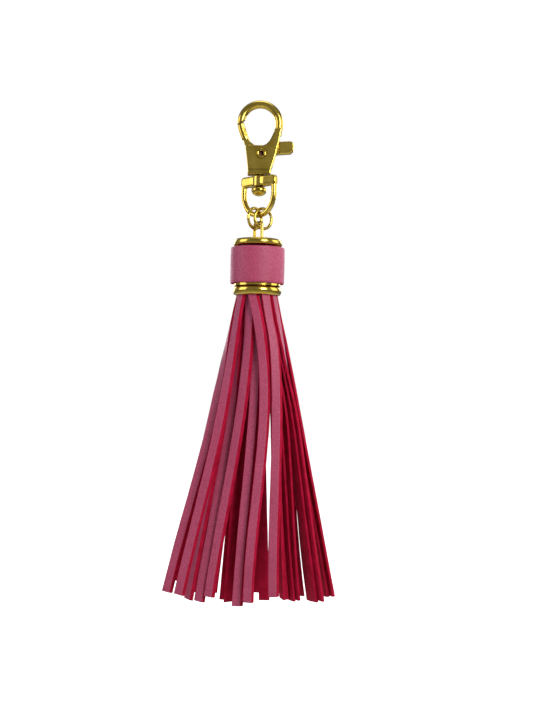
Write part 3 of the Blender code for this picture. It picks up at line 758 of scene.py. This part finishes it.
def strip_outline():
    """Cross-section of a strip, anticlockwise from its left front corner: across, outward, and edge share.

    The die leans a little, so the right cut edge slopes and its dyed core shows from the front.
    """
    side = STRIP_WIDTH / 2
    front = SHEET / 2
    soft = 0.12 * MM
    right = side - CUT_SLOPE
    outline = []
    columns = 7
    for step in range(columns):
        across = -side + soft + (side + right - 2 * soft) * step / (columns - 1)
        share = abs(across) / side
        outline.append((across, front + 0.02 * MM * (1 - share ** 2), share ** 6))
    outline += [(right - 0.03 * MM, front - 0.04 * MM, 1.0), (right + 0.04 * MM, front - soft, 1.0)]
    foot = side + CUT_OVERHANG
    outline += [(foot, -front + 0.1 * MM, 1.0), (foot - 0.1 * MM, -front, 1.0), (0.4 * side, -front, 0.0)]
    outline += [(-0.4 * side, -front, 0.0), (-side + 0.1 * MM, -front, 1.0)]
    outline += [(-side, -front + 0.1 * MM, 1.0)]
    outline += [(-side, front - soft, 1.0), (-side + 0.04 * MM, front - 0.04 * MM, 1.0)]
    return outline, columns


def make_strip(node, index, pink, crimson):
    """One strip of the fringe: pink skin in front, crimson nap behind, its foot cut nearly square."""
    heights, centres, angles = read_levels(node)
    rng = random.Random(100 + index)
    top = heights[0] + 0.55 * MM
    knots = -np.array([top] + heights[1:])
    at = np.linspace(knots[0], knots[-1], STRIP_SECTIONS)
    x = smooth_line([c.x for c in centres], knots, at)
    y = smooth_line([c.y for c in centres], knots, at)
    angle = smooth_line(angles, knots, at)
    run = (at - at[0]) / (at[-1] - at[0])
    phases = [rng.uniform(0, 2 * pi) for _ in range(5)]
    cup = rng.uniform(-0.05, 0.05) * MM
    slant = radians(rng.uniform(-4, 4))
    outline, columns = strip_outline()
    sections, marks, places = [], [], []
    for step in range(STRIP_SECTIONS):
        outward = Vector((cos(angle[step]), sin(angle[step]), 0))
        sideways = Vector((-outward.y, outward.x, 0))
        t = run[step]
        drift = 0.05 * MM * t * sin(9 * t + phases[0])
        centre = Vector((x[step], y[step], -at[step])) + sideways * drift
        ahead = min(step + 1, STRIP_SECTIONS - 1)
        behind = max(step - 1, 0)
        slope = Vector((x[ahead] - x[behind], y[ahead] - y[behind])) / (at[ahead] - at[behind])
        square = min(1.0, max(0.0, 1 - (at[-1] - at[step]) / FOOT_TURN))
        width = 1 + 0.012 * sin(26 * t + phases[1]) + 0.008 * sin(61 * t + phases[2])
        ring = []
        for across, out, share in outline:
            bowl = cup * ((across / (STRIP_WIDTH / 2)) ** 2 - 0.35) * sin(5 * t + phases[3]) * min(1, 6 * t)
            offset = sideways * across * width + outward * (out + bowl)
            tilt = Vector((offset.x, offset.y)).dot(slope) + across * slant
            ring.append(centre + offset + UP * tilt * square * square)
            marks.append(share)
            places.append((across / MM, at[step] / MM))
        sections.append(ring)
    foot = sections[-1]
    middle = sum(foot, Vector()) / len(foot)
    sections.append([point + (middle - point) * FOOT_TAPER - UP * FOOT_ROUND for point in foot])
    marks += marks[-len(outline):]
    places += places[-len(outline):]
    bm = skin(sections)
    count = len(outline)
    faces = list(bm.faces)
    for number, face in enumerate(faces):
        column = number % count
        on_skin = number < (len(sections) - 2) * count and column < columns - 1
        face.material_index = 0 if on_skin else 1
    mesh = mesh_from(bm, node)
    layer = mesh.uv_layers.new(name="leather")
    shift = rng.uniform(0, 400)
    for loop in mesh.loops:
        across, along = places[loop.vertex_index]
        layer.data[loop.index].uv = (across + shift, along)
    paint_edges(mesh, marks)
    name = node.replace("strip_", "fringe_")
    body = node.replace("strip_", "") if "outer" in node else None
    made = finish_piece(name, mesh, [pink, crimson], None if body else "tassel", [node], 38)
    if body:
        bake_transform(made)
    return made


def make_roll(crimson):
    """The rolled top of the sheet, which shows from below between the strips."""
    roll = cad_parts["fringe_roll"]
    roll.data.materials.clear()
    roll.data.materials.append(crimson)
    return roll


# Stage

def make_stage():
    """Plain pale floor well below the hanging charm."""
    reach = 1.6
    floor_z = -0.262
    steps = 64
    bm = bmesh.new()
    rim = [bm.verts.new((reach * cos(2 * pi * k / steps), reach * sin(2 * pi * k / steps), floor_z))
           for k in range(steps)]
    bm.faces.new(rim)
    mesh = bpy.data.meshes.new("floor")
    bm.to_mesh(mesh)
    bm.free()
    floor = bpy.data.objects.new("floor", mesh)
    bpy.context.collection.objects.link(floor)
    mesh.materials.append(pale_floor())


def softbox(name, place, aim, width, height, power, tint=(1, 1, 1)):
    data = bpy.data.lights.new(name, "AREA")
    data.shape = "RECTANGLE"
    data.size = width
    data.size_y = height
    data.energy = power
    data.color = tint
    made = bpy.data.objects.new(name, data)
    bpy.context.collection.objects.link(made)
    made.location = place
    made.rotation_euler = (Vector(aim) - Vector(place)).to_track_quat("-Z", "Y").to_euler()
    made.visible_camera = False
    return made


def make_lights():
    middle = (0, 0, -0.060)
    softbox("key", (0.17, -0.27, 0.05), middle, 0.12, 0.14, 0.90)
    softbox("side_left", (-0.34, -0.10, 0.06), middle, 0.24, 0.26, 0.60, (0.86, 0.84, 1.0))
    softbox("side_right", (0.36, 0.02, 0.05), middle, 0.24, 0.26, 0.50)
    softbox("top", (0.03, 0.02, 0.42), middle, 0.28, 0.28, 0.6)
    softbox("back_left", (-0.30, 0.44, 0.05), middle, 0.24, 0.30, 1.0)
    softbox("back_right", (0.30, 0.46, 0.12), middle, 0.24, 0.30, 0.9)


def make_world():
    """White to the camera; to the object, a dim studio with a paler horizon and ceiling."""
    world = bpy.data.worlds.new("studio")
    bpy.context.scene.world = world
    world.use_nodes = True
    tree = world.node_tree
    tree.nodes.clear()
    output = tree.nodes.new("ShaderNodeOutputWorld")
    place = tree.nodes.new("ShaderNodeTexCoord")
    parts = tree.nodes.new("ShaderNodeSeparateXYZ")
    ramp = tree.nodes.new("ShaderNodeValToRGB")
    spread = tree.nodes.new("ShaderNodeMapRange")
    dim = tree.nodes.new("ShaderNodeBackground")
    white = tree.nodes.new("ShaderNodeBackground")
    path = tree.nodes.new("ShaderNodeLightPath")
    mix = tree.nodes.new("ShaderNodeMixShader")
    spread.inputs["From Min"].default_value = -1
    stops = ((0.0, 0.08), (0.40, 0.12), (0.50, 0.22), (0.61, 0.36), (0.72, 0.18), (1.0, 0.40))
    elements = ramp.color_ramp.elements
    while len(elements) < len(stops):
        elements.new(0.5)
    for element, (position, value) in zip(elements, stops):
        element.position = position
        element.color = color(value, value, value)
    white.inputs["Color"].default_value = color(1, 1, 1)
    white.inputs["Strength"].default_value = 1.0
    links = tree.links
    links.new(place.outputs["Generated"], parts.inputs[0])
    links.new(parts.outputs["Z"], spread.inputs["Value"])
    links.new(spread.outputs[0], ramp.inputs[0])
    links.new(ramp.outputs[0], dim.inputs["Color"])
    links.new(path.outputs["Is Camera Ray"], mix.inputs[0])
    links.new(dim.outputs[0], mix.inputs[1])
    links.new(white.outputs[0], mix.inputs[2])
    links.new(mix.outputs[0], output.inputs["Surface"])


def make_camera():
    data = bpy.data.cameras.new("camera")
    camera = bpy.data.objects.new("camera", data)
    bpy.context.collection.objects.link(camera)
    data.sensor_width = SENSOR
    data.lens = SENSOR * CAMERA_DISTANCE / VIEW_HEIGHT
    data.clip_start = 0.01
    data.clip_end = 20
    right = Vector((cos(CAMERA_ROLL), 0, sin(CAMERA_ROLL)))
    top = Vector((-sin(CAMERA_ROLL), 0, cos(CAMERA_ROLL)))
    place = Vector((CAMERA_X, -CAMERA_DISTANCE, CAMERA_Z))
    camera.matrix_world = Matrix((
        (right.x, top.x, 0, place.x),
        (right.y, top.y, -1, place.y),
        (right.z, top.z, 0, place.z),
        (0, 0, 0, 1)))
    bpy.context.scene.camera = camera


def main():
    make_camera()
    gold = gold_plate()
    pink = pink_leather()
    crimson = crimson_backing()
    make_hook(gold)
    make_gate(gold)
    make_rivet(gold, painted_bore_shade())
    make_spring(spring_steel())
    make_post(gold)
    make_eye(gold)
    make_ring("ring_left", "jump_ring_left", "left_ring", gold, radians(200))
    make_ring("ring_right", "jump_ring_right", "right_ring", gold, radians(20))
    make_cap_loop(gold)
    make_lid(gold)
    make_sleeve(gold)
    make_band(pink, crimson)
    make_lower_ring(gold)
    make_roll(crimson)
    strips = sorted(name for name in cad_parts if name.startswith("strip_"))
    for index, node in enumerate(strips):
        make_strip(node, index, pink, crimson)
    make_stage()
    make_lights()
    make_world()
    bpy.context.scene.view_settings.view_transform = "Standard"


main()
